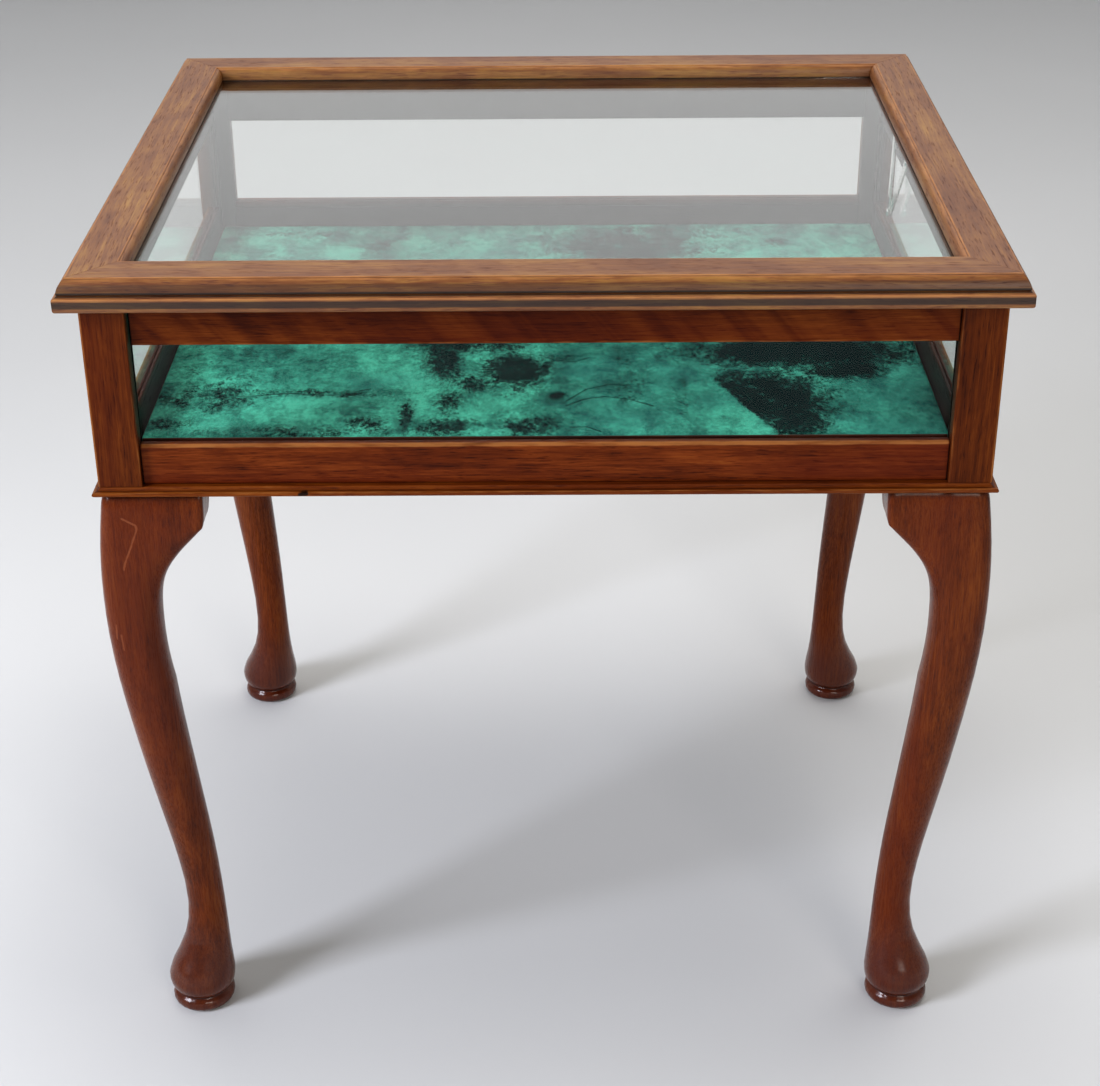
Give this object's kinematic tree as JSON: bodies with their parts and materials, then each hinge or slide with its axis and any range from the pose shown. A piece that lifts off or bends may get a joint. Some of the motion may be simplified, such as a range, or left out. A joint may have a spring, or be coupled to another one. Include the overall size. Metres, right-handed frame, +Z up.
{
  "type": "glazed display table",
  "caption": "Glazed wooden display table: a velvet-lined case with glass sides on cabriole legs, under a hinged glass lid held open by a folding stay.",
  "frame": {"origin": "on the floor, under the middle of the table", "axes": "+X to the right and +Y to the back when seen from the front, +Z up"},
  "size_m": [0.61, 0.5154, 0.597],
  "materials": {
    "wood_case": "reddish brown mahogany stain under a satin lacquer, ribbon figure on the top rails",
    "wood_leg": "reddish brown mahogany stain, gloss lacquer, small scratches and dents",
    "wood_lid": "mahogany stain worn paler on top, satin lacquer",
    "glass": "clear float glass",
    "velvet": "green cotton velvet with crushed, darker patches",
    "plywood": "plain plywood",
    "brass": "lacquered brass",
    "steel": "steel screws",
    "nickel": "bright nickel plate"
  },
  "bodies": {
    "case": {"post_front_left": "wood_case", "post_front_right": "wood_case", "post_back_right": "wood_case", "post_back_left": "wood_case", "top_rail_front": "wood_case", "bottom_rail_front": "wood_case", "base_moulding_front": "wood_case", "pane_bead_front": "wood_case", "pane_front": "glass", "top_rail_right": "wood_case", "bottom_rail_right": "wood_case", "base_moulding_right": "wood_case", "pane_bead_right": "wood_case", "pane_right": "glass", "top_rail_back": "wood_case", "bottom_rail_back": "wood_case", "base_moulding_back": "wood_case", "pane_bead_back": "wood_case", "pane_back": "glass", "top_rail_left": "wood_case", "bottom_rail_left": "wood_case", "base_moulding_left": "wood_case", "pane_bead_left": "wood_case", "pane_left": "glass", "leg_front_left": "wood_leg", "leg_front_right": "wood_leg", "leg_back_right": "wood_leg", "leg_back_left": "wood_leg", "floor_board": "plywood", "velvet_pad": "velvet", "hinge_case_leaf_left": "brass", "hinge_pin_left": "brass", "hinge_case_screw_left_a": "steel", "hinge_case_screw_left_b": "steel", "hinge_case_leaf_right": "brass", "hinge_pin_right": "brass", "hinge_case_screw_right_a": "steel", "hinge_case_screw_right_b": "steel", "stay_case_pivot": "nickel"},
    "lid": {"lid_rail_front": "wood_lid", "lid_glass_bead_front": "wood_lid", "lid_rail_right": "wood_lid", "lid_glass_bead_right": "wood_lid", "lid_rail_back": "wood_lid", "lid_glass_bead_back": "wood_lid", "lid_rail_left": "wood_lid", "lid_glass_bead_left": "wood_lid", "lid_glass": "glass", "hinge_lid_leaf_left": "brass", "hinge_lid_screw_left_a": "steel", "hinge_lid_screw_left_b": "steel", "hinge_lid_leaf_right": "brass", "hinge_lid_screw_right_a": "steel", "hinge_lid_screw_right_b": "steel", "stay_lid_bracket": "nickel", "stay_lid_pivot": "nickel"},
    "case_arm": {"stay_case_arm": "nickel"},
    "lid_arm": {"stay_lid_arm": "nickel", "stay_knuckle_rivet": "nickel"}
  },
  "joints": [
    {"name": "lid_hinge", "type": "hinge", "parent": "case", "child": "lid", "pos_m": [0, 0.2476, 0.5729], "axis": [-1, 0, 0], "range_deg": [0, 50]},
    {"name": "stay_case_pivot", "type": "hinge", "parent": "case", "child": "case_arm", "pos_m": [0.2736, 0.066, 0.5614], "axis": [-1, 0, 0], "range_deg": [-80, 0.5]},
    {"name": "stay_lid_pivot", "type": "hinge", "parent": "lid", "child": "lid_arm", "pos_m": [0.2718, 0.118, 0.5696], "axis": [-1, 0, 0], "range_deg": [-22, 0.5]}
  ],
  "couplings": [
    {"joint": "stay_case_pivot", "follows": "lid_hinge", "ratio": -1.5924},
    {"joint": "stay_lid_pivot", "follows": "lid_hinge", "ratio": -0.43177}
  ]
}
